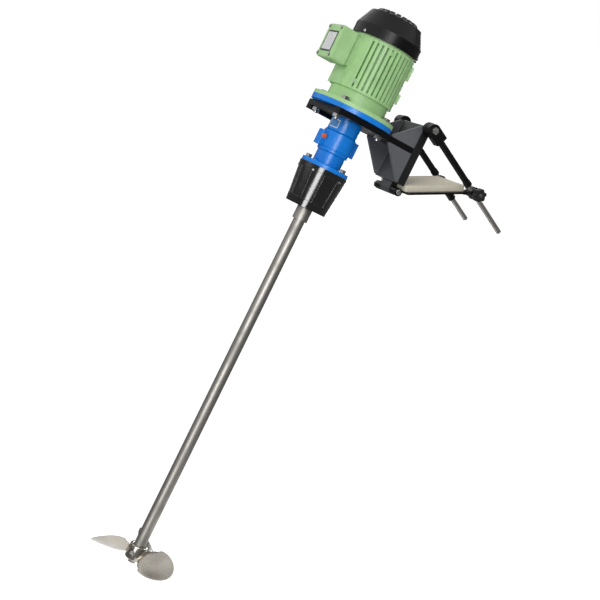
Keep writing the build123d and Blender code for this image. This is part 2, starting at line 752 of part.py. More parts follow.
# ---- gearbox housings ---------------------------------------------------------------------------------
quill_seat = -38
bolt_holes = [(flange_bolt_circle / 2, flange_bolt_radius + 0.5)]
input_body = turned(
    "input_flange",
    (spigot_radius + 0.1, 0), (flange_radius, 0), (flange_radius, -input_thickness), (input_tube_radius, -input_thickness),
    (input_tube_radius, -input_tube_bottom), (30, -input_tube_bottom), (30, quill_seat - 4), (18, quill_seat - 4),
    (18, quill_seat), (quill_bearing_radius, quill_seat), (quill_bearing_radius, quill_seat + quill_bearing_width + 1),
    (31, quill_seat + quill_bearing_width + 1), (31, -spigot_depth), (spigot_radius + 0.1, -spigot_depth),
)
with BuildPart() as input_flange:
    add(input_body)
    with BuildSketch(HEAD):
        with PolarLocations(flange_bolt_circle / 2, 4, start_angle=45):
            Circle(flange_bolt_radius + 0.5)
    extrude(amount=-input_thickness, mode=Mode.SUBTRACT)
input_flange.part.label = "input_flange"
export_step(input_flange.part, "parts/input_flange.step")

ring_top = -64
ring_bottom = -90
case_step = ring_bottom - 8.5
plug_lug = (-50, 28, ring_bottom - 11, ring_top - 2)
hinge_lug = (48, 24, ring_bottom - 8, ring_top + 3)
case_body = turned(
    "gear_case",
    (30, -input_tube_bottom), (input_tube_radius, -input_tube_bottom), (case_radius, -input_tube_bottom - 3.5),
    (case_radius, case_step), (case_radius - 2, case_step - 1.5), (case_radius - 2, case_step - 8),
    (neck_radius, 1.5 - case_bottom), (neck_radius, -case_bottom), (28, -case_bottom),
    (28, ring_bottom - 4), (case_bore, ring_bottom - 4), (case_bore, ring_top + 2), (30, ring_top + 2),
)
with BuildPart() as gear_case:
    add(case_body)
    for reach, width, bottom, top in (plug_lug, hinge_lug):
        lug_start = (case_bore + 2) if reach > 0 else -(case_bore + 2)
        with BuildSketch(HEAD.offset(bottom)):
            with Locations(((reach + lug_start) / 2, 0)):
                RectangleRounded(abs(reach - lug_start), width, 2)
        extrude(amount=top - bottom)
gear_case.part.label = "gear_case"
export_step(gear_case.part, "parts/gear_case.step")

oil_seat = side_plane(plug_lug[0] + 6.1, -plug_lug[1] / 2, (plug_lug[2] + plug_lug[3]) / 2 + 4.5, -1)
with BuildPart() as oil_plug:
    with BuildSketch(oil_seat):
        Circle(5.8)
    extrude(amount=4)
    chamfer(oil_plug.faces().sort_by(Axis.Y)[0].edges(), 1)
oil_plug.part.label = "oil_plug"
export_step(oil_plug.part, "parts/oil_plug.step")

lower_seat = -145
upper_seat = -127
output_body = turned(
    "output_housing",
    (output_bearing_radius, -case_bottom), (neck_radius, -case_bottom), (neck_radius, -output_flange_top + 3),
    (neck_radius + 3, -output_flange_top), (output_flange_radius, -output_flange_top),
    (output_flange_radius, -output_flange_bottom), (output_bearing_radius, -output_flange_bottom),
    (output_bearing_radius, lower_seat + output_bearing_width), (22, lower_seat + output_bearing_width),
    (22, upper_seat), (output_bearing_radius, upper_seat),
)
with BuildPart() as output_housing:
    add(output_body)
    with BuildSketch(HEAD.offset(-output_flange_top)):
        with PolarLocations(output_bolt_circle / 2, 3, start_angle=60):
            Circle(output_bolt_radius)
    extrude(amount=output_flange_top - output_flange_bottom, mode=Mode.SUBTRACT)
output_housing.part.label = "output_housing"
export_step(output_housing.part, "parts/output_housing.step")


# ---- planetary gears ------------------------------------------------------------------------------------
def involute(radius, base):
    """Involute function of the pressure angle at a radius."""
    angle = acos(min(1, base / radius))
    return tan(angle) - angle


def gear_outline(teeth, root, tip, widen, phase=0):
    """Corners of a gear's outline: involute flanks from root to tip, each tooth widened at the pitch line."""
    pitch = module * teeth / 2
    base = pitch * cos(radians(pressure_angle))
    half_tooth = pi / (2 * teeth) + widen / (2 * pitch)
    start = max(base, root)
    radii = [start, (start + tip) / 2, tip]
    corners = []
    for tooth in range(teeth):
        centre = 2 * pi * tooth / teeth + radians(phase)
        half = [half_tooth + involute(pitch, base) - involute(r, base) for r in radii]
        flank = [(r, -h) for r, h in zip(radii, half)]
        if root < base:
            flank.insert(0, (root, -half[0]))
        flank += [(r, -h) for r, h in reversed(flank)]
        corners += [(r * cos(centre + h), r * sin(centre + h)) for r, h in flank]
    return corners


sun_pitch = module * sun_teeth / 2
planet_pitch = module * planet_teeth / 2
ring_pitch = module * ring_teeth / 2
centre_distance = sun_pitch + planet_pitch
addendum = 0.95 * module
dedendum = 1.25 * module
planet_top = -67
planet_bottom = planet_top - gear_face

with BuildPart() as ring_gear:
    with BuildSketch(HEAD.offset(ring_bottom)):
        Circle(case_bore)
        with BuildLine():
            Polyline(*gear_outline(ring_teeth, ring_pitch - 0.8 * module, ring_pitch + dedendum, backlash, 180 / ring_teeth), close=True)
        make_face(mode=Mode.SUBTRACT)
    extrude(amount=ring_top - ring_bottom)
ring_gear.part.label = "ring_gear"
export_step(ring_gear.part, "parts/ring_gear.step")

quill_bottom = -42
with BuildPart() as input_pinion:
    with BuildSketch(HEAD.offset(quill_bottom)):
        Circle(quill_radius)
    extrude(amount=-4 - quill_bottom)
    with BuildSketch(HEAD.offset(motor_shaft_bottom - 1)):
        Circle(shaft_nose)
    extrude(amount=-4 - motor_shaft_bottom + 1, mode=Mode.SUBTRACT)
    with BuildSketch(HEAD.offset(planet_top + 2)):
        Circle(sun_pitch - dedendum)
    extrude(amount=quill_bottom - planet_top - 2)
    with BuildSketch(HEAD.offset(planet_bottom - 1)):
        with BuildLine():
            Polyline(*gear_outline(sun_teeth, sun_pitch - dedendum, sun_pitch + addendum, -backlash), close=True)
        make_face()
    extrude(amount=gear_face + 3)
input_pinion.part.label = "input_pinion"
export_step(input_pinion.part, "parts/input_pinion.step")

for number in range(planets):
    angle = 360 * number / planets
    centre = (centre_distance * cos(radians(angle)), centre_distance * sin(radians(angle)), planet_bottom)
    turn = (cos(radians(angle)), sin(radians(angle)), 0)
    with BuildPart() as planet_gear:
        with BuildSketch(on_head(Plane(origin=centre, x_dir=turn, z_dir=(0, 0, 1)))):
            with BuildLine():
                Polyline(*gear_outline(planet_teeth, planet_pitch - dedendum, planet_pitch + addendum, -backlash, 180 / planet_teeth), close=True)
            make_face()
            Circle(planet_pin_radius + running_fit, mode=Mode.SUBTRACT)
        extrude(amount=gear_face)
    planet_gear.part.label = f"planet_gear_{number + 1}"
    export_step(planet_gear.part, f"parts/planet_gear_{number + 1}.step")

carrier_top = planet_bottom - 5
carrier_bottom = carrier_top - 7
output_shaft_bottom = -200
carrier_body = turned(
    "planet_carrier",
    (0, carrier_top), (25, carrier_top), (25, carrier_bottom), (output_shaft_radius + 2.5, carrier_bottom),
    (output_shaft_radius + 2.5, upper_seat + output_bearing_width), (output_shaft_radius, upper_seat + output_bearing_width),
    (output_shaft_radius, output_shaft_bottom), (0, output_shaft_bottom),
)
with BuildPart() as planet_carrier:
    add(carrier_body)
    with BuildSketch(HEAD.offset(carrier_top)):
        with PolarLocations(centre_distance, planets):
            Circle(planet_pin_radius)
    extrude(amount=planet_top + 1 - carrier_top)
    with BuildSketch(HEAD.offset(carrier_top)):
        with PolarLocations(centre_distance, planets):
            Circle(planet_pin_radius + 2)
    extrude(amount=planet_bottom - side_gap - carrier_top)
planet_carrier.part.label = "planet_carrier"
export_step(planet_carrier.part, "parts/planet_carrier.step")

# ---- lantern: tapered housing with sunk panels between its ribs, and its bearing seat ------------------
taper = (lantern_top_radius - lantern_bottom_radius) / (lantern_bottom - output_flange_bottom)


def lantern_radius(drop):
    """Outside radius of the lantern at a depth below the motor joint."""
    return lantern_top_radius - taper * (drop - output_flange_bottom)


lantern_seat = lantern_bottom - 3
lantern_body = turned(
    "lantern",
    (44, -output_flange_bottom), (lantern_top_radius, -output_flange_bottom), (lantern_bottom_radius, -lantern_bottom),
    (coupling_radius + 1.5, -lantern_bottom), (coupling_radius + 1.5, -lantern_seat), (lantern_bearing_radius, -lantern_seat),
    (lantern_bearing_radius, -lantern_seat + lantern_bearing_width + 2), (42, -lantern_seat + lantern_bearing_width + 4),
    (44, -output_flange_bottom - 12),
)
panel_top = output_flange_bottom + 12
panel_bottom = lantern_bottom - 17
panel_angle = 360 / panel_count
rib_angle = 4.5
first_rib = 3
with BuildPart() as lantern:
    add(lantern_body)
    for number in range(panel_count):
        start = first_rib + rib_angle / 2 + number * panel_angle
        edge = (cos(radians(start)), sin(radians(start)), 0)
        with BuildSketch(on_head(Plane(origin=(0, 0, 0), x_dir=edge, z_dir=(edge[1], -edge[0], 0)))):
            with BuildLine():
                Polyline(
                    (lantern_radius(panel_top) - panel_depth, -panel_top), (lantern_radius(panel_top) + 1, -panel_top),
                    (lantern_radius(panel_bottom) + 1, -panel_bottom),
                    (lantern_radius(panel_bottom) - panel_depth, -panel_bottom), close=True,
                )
            make_face()
        revolve(axis=DRIVE_AXIS, revolution_arc=panel_angle - rib_angle, mode=Mode.SUBTRACT)
    with BuildSketch(HEAD.offset(-output_flange_bottom)):
        with PolarLocations(output_bolt_circle / 2, 3, start_angle=60):
            Circle(output_bolt_radius)
    extrude(amount=-11, mode=Mode.SUBTRACT)
lantern.part.label = "lantern"
export_step(lantern.part, "parts/lantern.step")

# ---- bearings -------------------------------------------------------------------------------------------
front_outer, front_inner = sealed_bearing(shaft_radius, motor_bearing_radius, motor_bearing_width, bearing_seat)
back_outer, back_inner = sealed_bearing(shaft_radius, motor_bearing_radius, motor_bearing_width, rear_seat)
quill_outer, quill_inner = sealed_bearing(quill_radius, quill_bearing_radius, quill_bearing_width, quill_seat)
upper_outer, upper_inner = sealed_bearing(output_shaft_radius, output_bearing_radius, output_bearing_width, upper_seat)
lower_outer, lower_inner = sealed_bearing(output_shaft_radius, output_bearing_radius, output_bearing_width, lower_seat)
foot_outer, foot_inner = sealed_bearing(coupling_radius, lantern_bearing_radius, lantern_bearing_width, -lantern_seat)

for label, rings in (
    ("input_bearing_outer_rings", (front_outer, back_outer, quill_outer)),
    ("input_bearing_inner_rings", (front_inner, back_inner, quill_inner)),
    ("output_bearing_outer_rings", (upper_outer, lower_outer, foot_outer)),
    ("output_bearing_inner_rings", (upper_inner, lower_inner, foot_inner)),
):
    with BuildPart() as ring_set:
        for ring in rings:
            add(ring)
    ring_set.part.label = label
    export_step(ring_set.part, f"parts/{label}.step")

# ---- coupling sleeve between the gearbox shaft and the agitator shaft -----------------------------------
coupling_sleeve = turned(
    "coupling_sleeve",
    (output_shaft_radius, -coupling_top), (coupling_radius, -coupling_top), (coupling_radius, -lantern_bottom),
    (coupling_foot_radius, -lantern_bottom - 1), (coupling_foot_radius, -coupling_bottom),
    (agitator_radius, -coupling_bottom), (agitator_radius, -agitator_top + 2), (output_shaft_radius, -agitator_top + 2),
)
screw_height = -coupling_bottom + 15
with BuildPart() as coupling_screws:
    for angle in (150, 330):
        with BuildSketch(radial_plane(angle, agitator_radius, screw_height)):
            Circle(4)
        extrude(amount=coupling_foot_radius - agitator_radius - 0.5)
with BuildPart() as coupling:
    add(coupling_sleeve)
    for angle in (150, 330):
        with BuildSketch(radial_plane(angle, agitator_radius, screw_height)):
            Circle(4)
        extrude(amount=coupling_foot_radius, mode=Mode.SUBTRACT)
coupling.part.label = "coupling_sleeve"
export_step(coupling.part, "parts/coupling_sleeve.step")
# The screws bed on the shaft's round surface, so the shaft's own cylinder is cut from their tips.
with BuildPart() as seated_screws:
    add(coupling_screws.part)
    with BuildSketch(HEAD.offset(-coupling_bottom)):
        Circle(agitator_radius)
    extrude(amount=40, mode=Mode.SUBTRACT)
seated_screws.part.label = "coupling_screws"
export_step(seated_screws.part, "parts/coupling_screws.step")

hub_bottom = hub_top + hub_height
with BuildPart() as agitator_shaft:
    with BuildSketch(HEAD.offset(-hub_bottom)):
        Circle(agitator_radius)
    extrude(amount=hub_bottom - agitator_top)
agitator_shaft.part.label = "agitator_shaft"
export_step(agitator_shaft.part, "parts/agitator_shaft.step")

# ---- propeller: hub and three pitched blades ------------------------------------------------------------
hub_middle = -(hub_top + hub_bottom) / 2
hub_screw_radius = 5
blade_stations = ((17, 34), (40, 60), (64, 80), (86, 86), (104, 76), (115, 54), (blade_radius, 22))


def blade_section(angle, radius, chord):
    """A lens-shaped blade section, square to the blade's length and turned to the pitch of the screw."""
    outward = (cos(radians(angle)), sin(radians(angle)), 0)
    pitch_angle = atan2(blade_pitch, 2 * pi * max(radius, 30))
    along = (-outward[1] * cos(pitch_angle), outward[0] * cos(pitch_angle), sin(pitch_angle))
    origin = (radius * outward[0], radius * outward[1], hub_middle)
    half_thickness = max(0.8, blade_thickness * (1 - radius / (blade_radius * 1.15)) / 2)
    with BuildSketch(on_head(Plane(origin=origin, x_dir=along, z_dir=outward))) as section:
        with BuildLine():
            ThreePointArc((-chord / 2, 0), (0, half_thickness), (chord / 2, 0))
            ThreePointArc((chord / 2, 0), (0, -half_thickness), (-chord / 2, 0))
        make_face()
    return section.sketch


with BuildPart() as propeller:
    for number in range(blade_count):
        blade_angle = 60 + 360 * number / blade_count
        loft(sections=[blade_section(blade_angle, radius, chord) for radius, chord in blade_stations])
    with BuildSketch(HEAD.offset(-hub_bottom)):
        Circle(hub_radius)
    extrude(amount=hub_height)
    with BuildSketch(HEAD.offset(-hub_bottom - 40)):
        Circle(agitator_radius)
    extrude(amount=hub_height + 80, mode=Mode.SUBTRACT)
    with BuildSketch(radial_plane(225, agitator_radius, hub_middle)):
        Circle(hub_screw_radius)
    extrude(amount=hub_radius, mode=Mode.SUBTRACT)
propeller.part.label = "propeller"
export_step(propeller.part, "parts/propeller.step")

with BuildPart() as propeller_fasteners:
    with BuildSketch(radial_plane(225, agitator_radius, hub_middle)):
        Circle(hub_screw_radius)
    extrude(amount=hub_radius - agitator_radius + 3)
    with BuildSketch(HEAD.offset(-hub_bottom)):
        Circle(agitator_radius)
    extrude(amount=hub_height, mode=Mode.SUBTRACT)
    with BuildSketch(HEAD.offset(-hub_bottom)):
        Circle(15)
    extrude(amount=-2)
    with BuildSketch(HEAD.offset(-hub_bottom - 2)):
        RegularPolygon(radius=8.5, side_count=6, major_radius=False)
    extrude(amount=-7)
propeller_fasteners.part.label = "propeller_fasteners"
export_step(propeller_fasteners.part, "parts/propeller_fasteners.step")

# ---- fasteners that join the housings -------------------------------------------------------------------
bolt_offset = flange_bolt_circle / 2 * cos(radians(45))
flange_seats = []
nut_seats = []
for x in (-bolt_offset, bolt_offset):
    for y in (-bolt_offset, bolt_offset):
        flange_seats.append(on_head(Plane(origin=(x, y, motor_flange), z_dir=(0, 0, 1))))
        nut_seats.append(on_head(Plane(origin=(x, y, base_bottom), z_dir=(0, 0, -1))))
flange_grip = motor_flange - base_bottom + flange_bolt_tail
hex_bolts("flange_bolts", flange_seats, flange_bolt_flats, flange_bolt_head, flange_bolt_radius, flange_grip)
hex_nuts("flange_nuts", nut_seats, flange_bolt_flats, flange_nut_height, flange_bolt_radius)

output_seats = []
for number in range(3):
    angle = radians(60 + 120 * number)
    x = output_bolt_circle / 2 * cos(angle)
    y = output_bolt_circle / 2 * sin(angle)
    output_seats.append(on_head(Plane(origin=(x, y, -output_flange_top), z_dir=(0, 0, 1))))
output_grip = output_flange_bottom - output_flange_top + 10
hex_bolts("lantern_bolts", output_seats, output_bolt_flats, output_bolt_head, output_bolt_radius, output_grip)
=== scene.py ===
# %% [markdown]
# # A portable tank agitator, dressed from its fixed frame
# The model comes packed from CAD as named nodes on named bodies. This lesson gives every node the finish
# that the real machine has, adds the small pieces that a workshop would fit by hand, and sets up a quiet
# studio. The first cell loads the frame and keeps its outside box, from which the floor's height is taken.

# %% Load the frame
import json
import math
import bpy
from mathutils import Matrix, Vector


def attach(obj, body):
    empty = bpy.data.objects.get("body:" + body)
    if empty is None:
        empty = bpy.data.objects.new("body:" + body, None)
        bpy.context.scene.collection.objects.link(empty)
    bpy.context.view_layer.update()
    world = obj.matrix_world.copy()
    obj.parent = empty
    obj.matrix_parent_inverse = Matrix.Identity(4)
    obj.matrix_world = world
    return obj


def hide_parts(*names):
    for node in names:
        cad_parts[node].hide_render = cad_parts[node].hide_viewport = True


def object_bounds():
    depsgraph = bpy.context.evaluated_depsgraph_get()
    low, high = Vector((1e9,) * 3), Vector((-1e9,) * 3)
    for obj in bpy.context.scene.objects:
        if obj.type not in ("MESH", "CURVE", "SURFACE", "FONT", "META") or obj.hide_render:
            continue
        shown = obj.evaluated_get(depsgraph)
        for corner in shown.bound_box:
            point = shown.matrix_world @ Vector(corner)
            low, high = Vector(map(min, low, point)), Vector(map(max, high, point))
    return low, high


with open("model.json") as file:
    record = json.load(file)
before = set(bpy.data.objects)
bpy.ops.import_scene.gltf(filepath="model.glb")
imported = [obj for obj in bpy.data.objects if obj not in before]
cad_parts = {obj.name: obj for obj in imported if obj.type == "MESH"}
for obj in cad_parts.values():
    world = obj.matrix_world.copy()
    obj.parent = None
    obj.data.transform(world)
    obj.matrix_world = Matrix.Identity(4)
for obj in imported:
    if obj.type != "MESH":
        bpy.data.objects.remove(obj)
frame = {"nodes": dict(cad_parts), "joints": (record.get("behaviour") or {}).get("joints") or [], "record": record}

cad_box = [list(corner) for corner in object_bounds()]
nodes = frame["nodes"]
joints = {joint["name"]: joint for joint in frame["joints"]}
print("nodes:", len(nodes), "joints:", len(joints))

# %% [markdown]
# The drive head leans on its hinge, so nothing on it is square to the world. Every place on the head is
# therefore given in the head's own axes, in millimetres from the middle of the joint between motor and
# gearbox: x runs from the shaft towards the hinge, y across, z up the shaft. Two joints of the frame hold
# all that is needed.

# %% The head's own axes
up = Vector(joints["output_spin"]["axis"]).normalized()
across = Vector((0, 1, 0))
reach = across.cross(up)
joint_centre = Vector(joints["rotor_spin"]["pos_m"])
lean = math.atan2(up.x, up.z)
MM = 0.001


def head(x, y, z):
    """A point of the drive head, given in its own axes in millimetres."""
    return joint_centre + (reach * x + across * y + up * z) * MM


def head_direction(x, y, z):
    """A direction given in the head's own axes."""
    return (reach * x + across * y + up * z).normalized()


def head_frame(x, y, z, facing, along=(0, 0, 1)):
    """The matrix that carries a piece modelled flat on the ground to the head: its z faces the given way."""
    normal = head_direction(*facing)
    side = head_direction(*along)
    side = (side - normal * side.dot(normal)).normalized()
    turn = Matrix((side, normal.cross(side), normal)).transposed()
    return Matrix.Translation(head(x, y, z)) @ turn.to_4x4()


print("lean of the head:", round(math.degrees(lean), 2), "degrees")

# %% [markdown]
# ## Camera
# A long lens from low on the left keeps the shaft's sides almost parallel, as a catalogue picture does. The
# camera's three directions are given in the head's axes, so the view follows the head's design.

# %% Camera
lens = bpy.data.cameras.new("studio_camera")
lens.lens = 69
lens.sensor_width = 36
lens.clip_start = 0.05
camera = bpy.data.objects.new("studio_camera", lens)
scene = bpy.context.scene
scene.collection.objects.link(camera)
view_right = head_direction(0.8153, -0.3742, 0.4418)
view_down = head_direction(0.3623, -0.2655, -0.8934)
view_forward = head_direction(0.4517, 0.8885, -0.0809)
camera_place = head(-1133.1, -2413.7, -225.6)
camera_turn = Matrix((view_right, -view_down, -view_forward)).transposed()
camera.matrix_world = Matrix.Translation(camera_place) @ camera_turn.to_4x4()
scene.camera = camera
print("camera stands", round((camera_place - joint_centre).length, 2), "m from the motor joint")

# %% [markdown]
# ## Shader maths as plain expressions
# A finish is mostly arithmetic on masks. One small class wraps a socket and overloads the operators, so
# that `1 - mask * 0.3` adds its Math nodes by itself. Any other node comes from a single method, which
# takes the node's type, its settings and its sockets. Numbers that never change are set on the shader's own
# sockets.

# %% Shader toolkit
class Value:
    """An output socket on which arithmetic adds Math nodes."""

    def __init__(self, graph, socket):
        self.graph = graph
        self.socket = socket

    def __add__(self, other):
        return self.graph.math("ADD", self, other)

    def __sub__(self, other):
        return self.graph.math("SUBTRACT", self, other)

    def __rsub__(self, other):
        return self.graph.math("SUBTRACT", other, self)

    def __mul__(self, other):
        return self.graph.math("MULTIPLY", self, other)

    def above(self, low, high):
        """A smooth step from 0 at low to 1 at high."""
        settings = {"interpolation_type": "SMOOTHSTEP"}
        return self.graph.node("ShaderNodeMapRange", settings, {0: self, 1: low, 2: high, 3: 0.0, 4: 1.0})

    __radd__ = __add__
    __rmul__ = __mul__


class Graph:
    """A tree of shader nodes, of a material or of the world."""

    def __init__(self, tree):
        self.tree = tree

    def fill(self, socket, value):
        if isinstance(value, Value):
            self.tree.links.new(value.socket, socket)
        else:
            socket.default_value = value

    def node(self, kind, settings=None, sockets=None, output=0):
        """Any node at all: settings go first, since they decide which sockets it has."""
        made = self.tree.nodes.new(kind)
        for name, value in (settings or {}).items():
            setattr(made, name, value)
        for key, value in (sockets or {}).items():
            self.fill(made.inputs[key], value)
        return Value(self, made.outputs[output])

    def math(self, operation, *operands):
        return self.node("ShaderNodeMath", {"operation": operation}, dict(enumerate(operands)))


class Finish(Graph):
    """A material under construction: one principled shader with constants on its own sockets."""

    def __init__(self, name, color, roughness, **constants):
        self.material = bpy.data.materials.new(name)
        self.material.use_nodes = True
        self.material.diffuse_color = (*color, 1)
        super().__init__(self.material.node_tree)
        self.shader = self.tree.nodes["Principled BSDF"]
        self.set("Base Color", (*color, 1))
        self.set("Roughness", roughness)
        for socket, value in constants.items():
            self.set(socket.replace("_", " "), value)

    def set(self, socket, value):
        self.fill(self.shader.inputs[socket], value)

    def place(self):
        """Coordinates in metres along the world's axes."""
        return self.node("ShaderNodeTexCoord", output="Object")

    def head_place(self):
        """Coordinates in metres along the drive head's own axes, with zero at the motor joint."""
        return self.node("ShaderNodeMapping", {}, {
            "Vector": self.place(), "Rotation": (0, -lean, 0),
            "Location": -(Matrix.Rotation(-lean, 3, "Y") @ joint_centre)})

    def scaled(self, vector, stretch):
        return self.node("ShaderNodeMapping", {}, {"Vector": vector, "Scale": stretch})

    def noise(self, vector, scale, detail=3.0, roughness=0.55):
        sockets = {"Vector": vector, "Scale": scale, "Detail": detail, "Roughness": roughness}
        return self.node("ShaderNodeTexNoise", {}, sockets)

    def mix(self, mask, first, second):
        """A blend of two colours: 0 is the first, 1 the second."""
        sockets = {0: mask, 6: first, 7: second}
        return self.node("ShaderNodeMix", {"data_type": "RGBA"}, sockets, output=2)

    def bump(self, height, strength, distance, normal=None):
        sockets = {"Height": height, "Strength": strength, "Distance": distance}
        if normal is not None:
            sockets["Normal"] = normal
        self.set("Normal", self.node("ShaderNodeBump", {}, sockets))

    def rounded(self, radius):
        """A normal that turns softly round the sharp edges."""
        return self.node("ShaderNodeBevel", {"samples": 4}, {"Radius": radius})

    def edge(self, rounded):
        """A mask that is 1 on the sharp edges that hands and spanners reach, from the rounded normal."""
        plain = self.node("ShaderNodeNewGeometry", output="Normal")
        settings = {"operation": "DOT_PRODUCT"}
        same = self.node("ShaderNodeVectorMath", settings, {0: rounded, 1: plain}, output="Value")
        return (1 - same).above(0.02, 0.25)


def shade(color, factor):
    """The same colour, darker or lighter."""
    return tuple(min(1.0, channel * factor) for channel in color[:3]) + (1,)


print("shader toolkit ready")

# %% [markdown]
# ## Enamels
# Motor and gearbox are castings under sprayed enamel. Under the gloss such paint keeps three marks of its
# making: the sand of the mould as a fine grain, a slow orange-peel wave, and thin spots on sharp edges. All
# three are noise at different scales, and they drive colour, roughness and bump together. Black steel plate
# is smoother than a casting, so the same recipe is used with less grain.

# %% Enamel
def enamel(name, color, roughness, grain, wave, wear, bare, shaded_side_colour=None, **constants):
    """Sprayed paint: grain and wave are bump strengths, wear is how far the bare metal shows on edges.

    Faces that look across the bracket can be painted a darker colour of their own: painted shade by face
    direction.
    """
    finish = Finish(name, color, roughness, **constants)
    spot = finish.place()
    fine = finish.noise(spot, 900, 2)
    broad = finish.noise(spot, 28, 4)
    peel = finish.noise(spot, 260, 1)
    rounded = finish.rounded(0.0009)
    chips = finish.noise(spot, 420, 4, 0.7).above(0.56, 0.64)
    worn = finish.edge(rounded) * chips * wear
    tone = finish.mix(broad.above(0.35, 0.7), shade(color, 0.93), shade(color, 1.06))
    soil = finish.noise(spot, 11, 5, 0.65).above(0.58, 0.8) * 0.28
    soiled = finish.mix(soil, tone, shade(color, 0.72))
    # Painted shade: faces that look across the bracket take a darker colour, chosen by which way they face.
    if shaded_side_colour:
        facing = finish.node("ShaderNodeTexCoord", output="Normal")
        sideways = finish.node("ShaderNodeSeparateXYZ", {}, {0: facing}, output="Y")
        soiled = finish.mix(finish.math("ABSOLUTE", sideways).above(0.75, 0.9), soiled, (*shaded_side_colour, 1))
    finish.set("Base Color", finish.mix(worn, soiled, (*bare, 1)))
    finish.set("Roughness", roughness + (fine - 0.5) * 0.16 + (broad - 0.5) * 0.18 + worn * 0.2)
    finish.bump(fine * grain + peel * wave, 0.5, 0.0004, rounded)
    return finish.material


green = (0.375, 0.62, 0.28)
blue = (0.0, 0.205, 0.73)
finishes = {
    "green_paint": enamel(
        "sage_enamel_on_casting", green, 0.4, 0.9, 0.5, 0.5, (0.42, 0.46, 0.36), Specular_IOR_Level=0.35),
    "blue_paint": enamel(
        "blue_enamel_on_casting", blue, 0.24, 0.35, 0.5, 0.35, (0.32, 0.38, 0.45), Specular_IOR_Level=0.34),
    "black_paint": enamel(
        "black_enamel_on_plate", (0.004, 0.004, 0.0045), 0.3, 0.3, 0.7, 0.5, (0.16, 0.15, 0.14),
        Specular_IOR_Level=0.22),
}
lantern_black = enamel(
    "gloss_black_on_lantern", (0.004, 0.004, 0.005), 0.13, 0.12, 0.3, 0.3, (0.2, 0.19, 0.18),
    Specular_IOR_Level=1.0)
# The webs are the same black enamel as the plate; their grey base colour is painted sheen.
web_painted_sheen = enamel(
    "black_enamel_painted_sheen_on_gussets", (0.108, 0.115, 0.128), 0.45, 0.5, 0.4, 0.5, (0.22, 0.22, 0.22))
# The upright is black enamel painted grey as painted sheen; its faces that look across the bracket are painted
# near black as painted shade.
upright_painted_sheen = enamel(
    "black_enamel_painted_sheen_on_upright", (0.05, 0.055, 0.06), 0.42, 0.5, 0.4, 0.5, (0.2, 0.2, 0.2),
    shaded_side_colour=(0.004, 0.004, 0.004))
print("enamels:", ", ".join(finishes))

# %% [markdown]
# ## Moulded plastics and the pad
# The fan cover and the star knob are moulded: no brush marks, but a satin skin with fine pitting, and
# scuffs that are lighter and rougher. The pad on the mounting plate is pressed cork and rubber, so it is
# speckled in two tones.

# %% Plastics and pad
def moulded(name, color, roughness, pitting, **constants):
    """Satin plastic with a pitted skin and pale scuffs."""
    finish = Finish(name, color, roughness, **constants)
    spot = finish.place()
    pits = finish.noise(spot, 1500, 2)
    scuff = finish.noise(finish.scaled(spot, (1, 6, 1)), 60, 5, 0.75).above(0.66, 0.74)
    cloud = finish.noise(spot, 18, 3)
    rounded = finish.rounded(0.0008)
    tone = finish.mix(cloud.above(0.3, 0.7), shade(color, 0.85), shade(color, 1.3))
    finish.set("Base Color", finish.mix(scuff * 0.35 + finish.edge(rounded) * 0.2, tone, shade(color, 5)))
    finish.set("Roughness", roughness + (pits - 0.5) * 0.2 + scuff * 0.15)
    finish.bump(pits, pitting, 0.0003, rounded)
    return finish.material


def pressed_pad(name, color):
    """Cork and rubber sheet: pale and dark crumbs, a matt skin and a slightly open surface."""
    finish = Finish(name, color, 0.85)
    spot = finish.place()
    crumbs = finish.node("ShaderNodeTexVoronoi", {}, {"Vector": spot, "Scale": 420.0}, output="Distance")
    speckle = finish.noise(spot, 700, 3, 0.7)
    cloud = finish.noise(spot, 22, 4)
    tone = finish.mix(speckle.above(0.5, 0.68), color + (1,), shade(color, 0.72))
    finish.set("Base Color", finish.mix(cloud.above(0.4, 0.75) * 0.35, tone, shade(color, 1.1)))
    finish.set("Roughness", 0.8 + speckle * 0.15)
    finish.bump(crumbs * 0.6 + speckle, 0.55, 0.0005)
    return finish.material


finishes["black_cover"] = moulded(
    "satin_black_cover", (0.0035, 0.0035, 0.0035), 0.3, 0.35, Specular_IOR_Level=0.25)
finishes["black_knob"] = moulded("black_knob_plastic", (0.01, 0.01, 0.011), 0.42, 0.5)
finishes["orange_plug"] = moulded("orange_plug_plastic", (0.72, 0.13, 0.03), 0.32, 0.3)
finishes["pad"] = pressed_pad("pressed_cork_pad", (0.72, 0.67, 0.54))
print("with plastics and pad:", len(finishes))

# %% [markdown]
# ## Metals
# A turned bar carries rings round its axis and long faint streaks of handling. Stretched noise makes both:
# squeezed along the shaft it gives turning marks, stretched along the shaft it gives streaks. Zinc-plated
# bolts are cloudy, and ground bearing rings are nearly clean.

# %% Metals
def turned_metal(name, color, roughness, rings, on_head=True, **constants):
    """Bar turned or ground on its own axis; rings is the strength of the turning marks."""
    finish = Finish(name, color, roughness, Metallic=1.0, **constants)
    spot = finish.head_place() if on_head else finish.place()
    marks = finish.noise(finish.scaled(spot, (3, 3, 900)), 1, 2)
    streaks = finish.noise(finish.scaled(spot, (260, 260, 6)), 1, 4, 0.6)
    cloud = finish.noise(spot, 14, 4)
    rounded = finish.rounded(0.0005)
    dull = cloud.above(0.42, 0.72)
    tone = finish.mix(dull, color + (1,), shade(color, 0.78))
    finish.set("Base Color", finish.mix(streaks.above(0.52, 0.72) * 0.5, tone, shade(color, 1.3)))
    finish.set("Roughness", roughness + (marks - 0.5) * 0.25 + dull * 0.1)
    finish.bump(marks * rings + streaks * 0.3 * rings, 0.6, 0.0002, rounded)
    return finish.material


